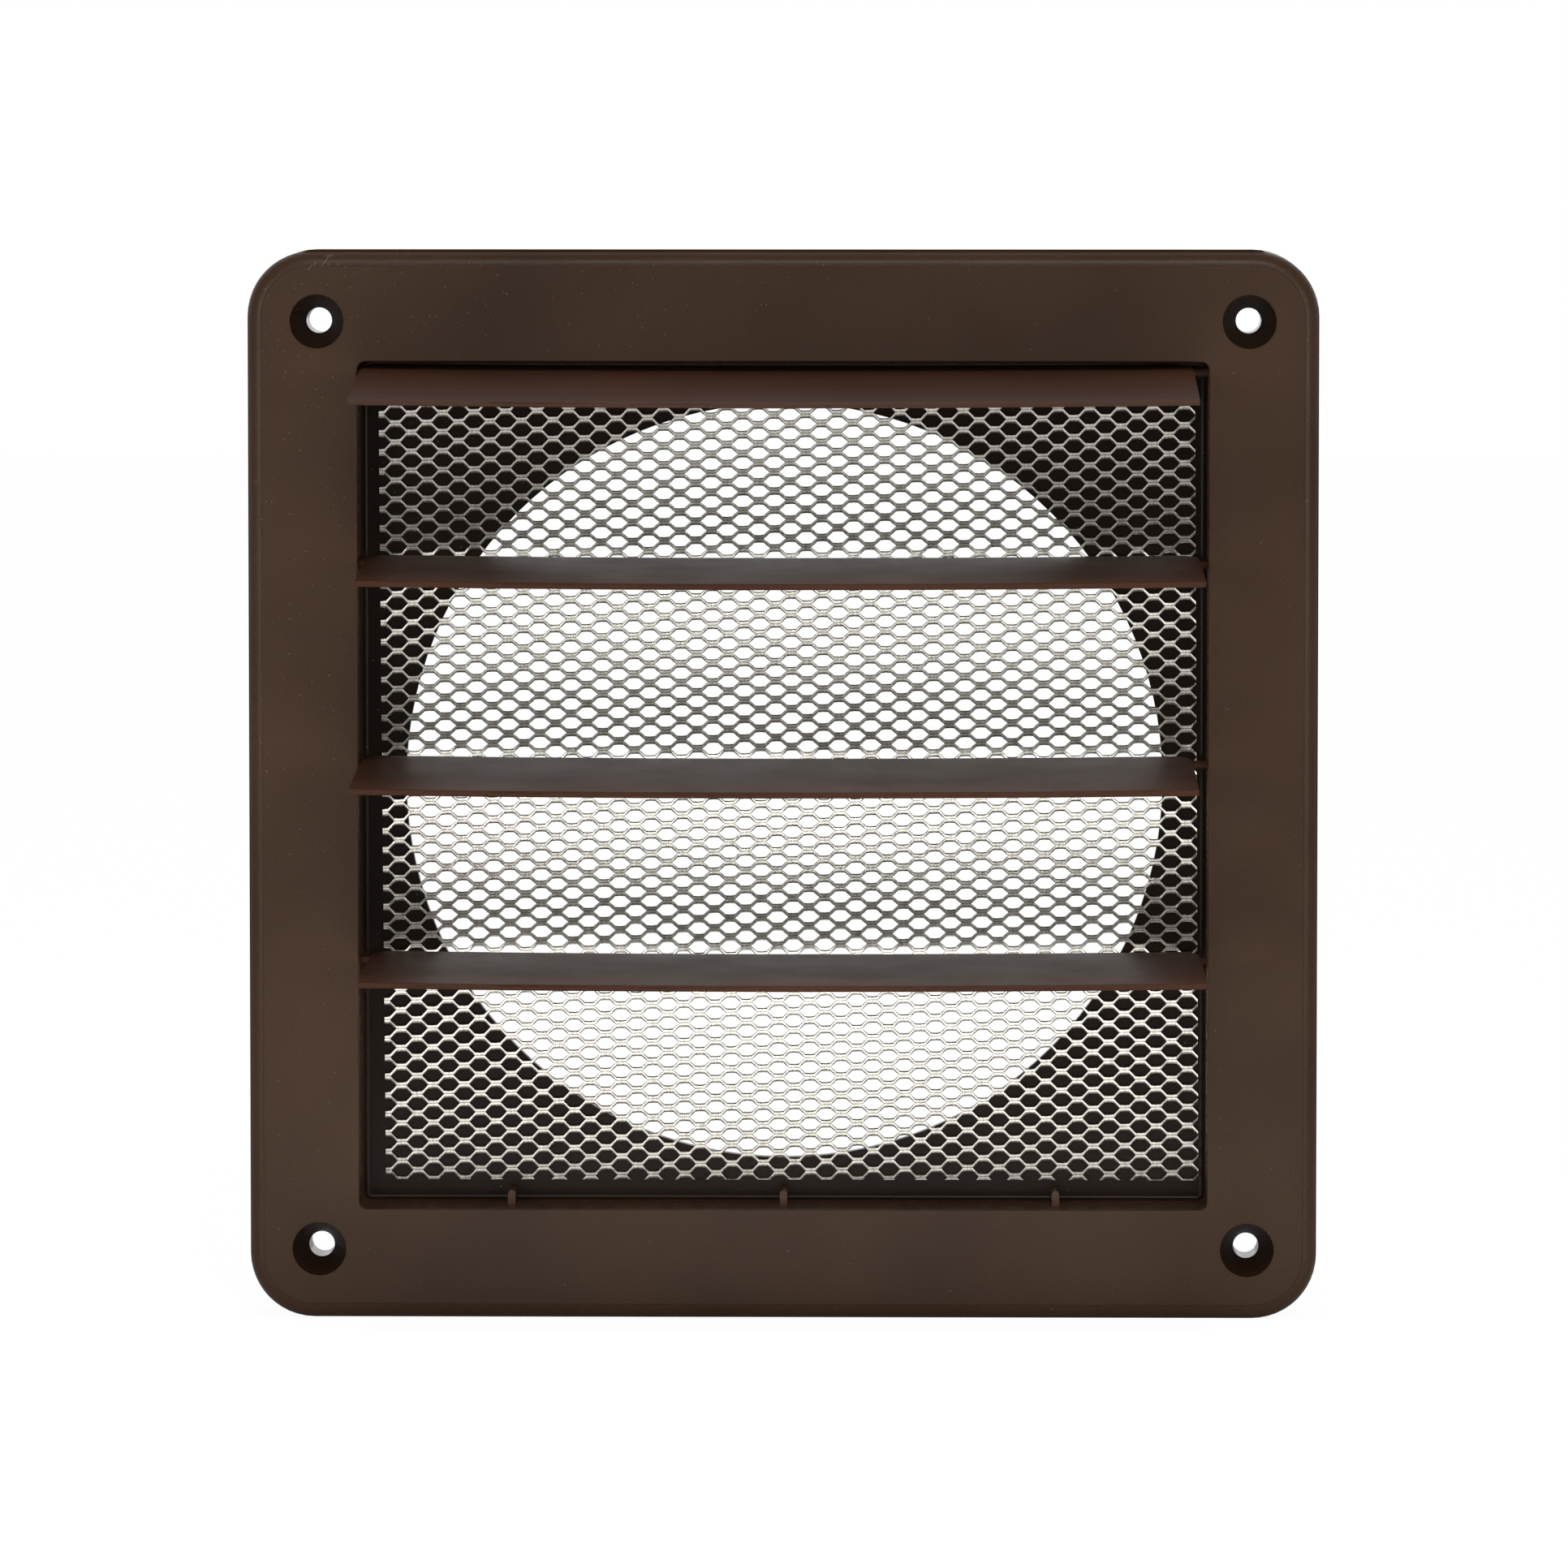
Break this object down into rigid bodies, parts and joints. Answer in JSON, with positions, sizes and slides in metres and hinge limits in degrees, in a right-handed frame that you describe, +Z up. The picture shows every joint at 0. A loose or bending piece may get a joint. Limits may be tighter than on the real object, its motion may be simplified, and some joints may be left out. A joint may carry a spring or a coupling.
{
  "type": "louvered soffit vent",
  "caption": "Square moulded vent plate with pivoting louvers over an expanded metal screen and a round duct opening in its back.",
  "frame": {"origin": "centre of the screw pattern, on the wall plane", "axes": "+X to the right seen from the front, +Z up, +Y into the wall; the face looks along -Y"},
  "size_m": [0.2096, 0.0558, 0.2096],
  "materials": {
    "body_plastic": "satin moulded, dark brown",
    "louver_plastic": "satin moulded, dark brown",
    "screen_metal": "bright mill finish"
  },
  "bodies": {
    "root": {"body": "body_plastic", "screen": "screen_metal"},
    "louver_1": {"louver_1": "louver_plastic"},
    "louver_2": {"louver_2": "louver_plastic"},
    "louver_3": {"louver_3": "louver_plastic"},
    "louver_4": {"louver_4": "louver_plastic"}
  },
  "joints": [
    {"name": "louver_1_pivot", "type": "hinge", "parent": "root", "child": "louver_1", "pos_m": [0, -0.00875, 0.0809], "axis": [1, 0, 0], "range_deg": [-6.5, 79.9]},
    {"name": "louver_2_pivot", "type": "hinge", "parent": "root", "child": "louver_2", "pos_m": [0, -0.00875, 0.04325], "axis": [1, 0, 0], "range_deg": [-6.8, 83.25]},
    {"name": "louver_3_pivot", "type": "hinge", "parent": "root", "child": "louver_3", "pos_m": [0, -0.00875, 0.0037], "axis": [1, 0, 0], "range_deg": [-6.75, 82.5]},
    {"name": "louver_4_pivot", "type": "hinge", "parent": "root", "child": "louver_4", "pos_m": [0, -0.00875, -0.0349], "axis": [1, 0, 0], "range_deg": [-6.85, 84]}
  ],
  "couplings": [
    {"joint": "louver_2_pivot", "follows": "louver_1_pivot", "ratio": 1.0419},
    {"joint": "louver_3_pivot", "follows": "louver_1_pivot", "ratio": 1.0325},
    {"joint": "louver_4_pivot", "follows": "louver_1_pivot", "ratio": 1.0513}
  ]
}
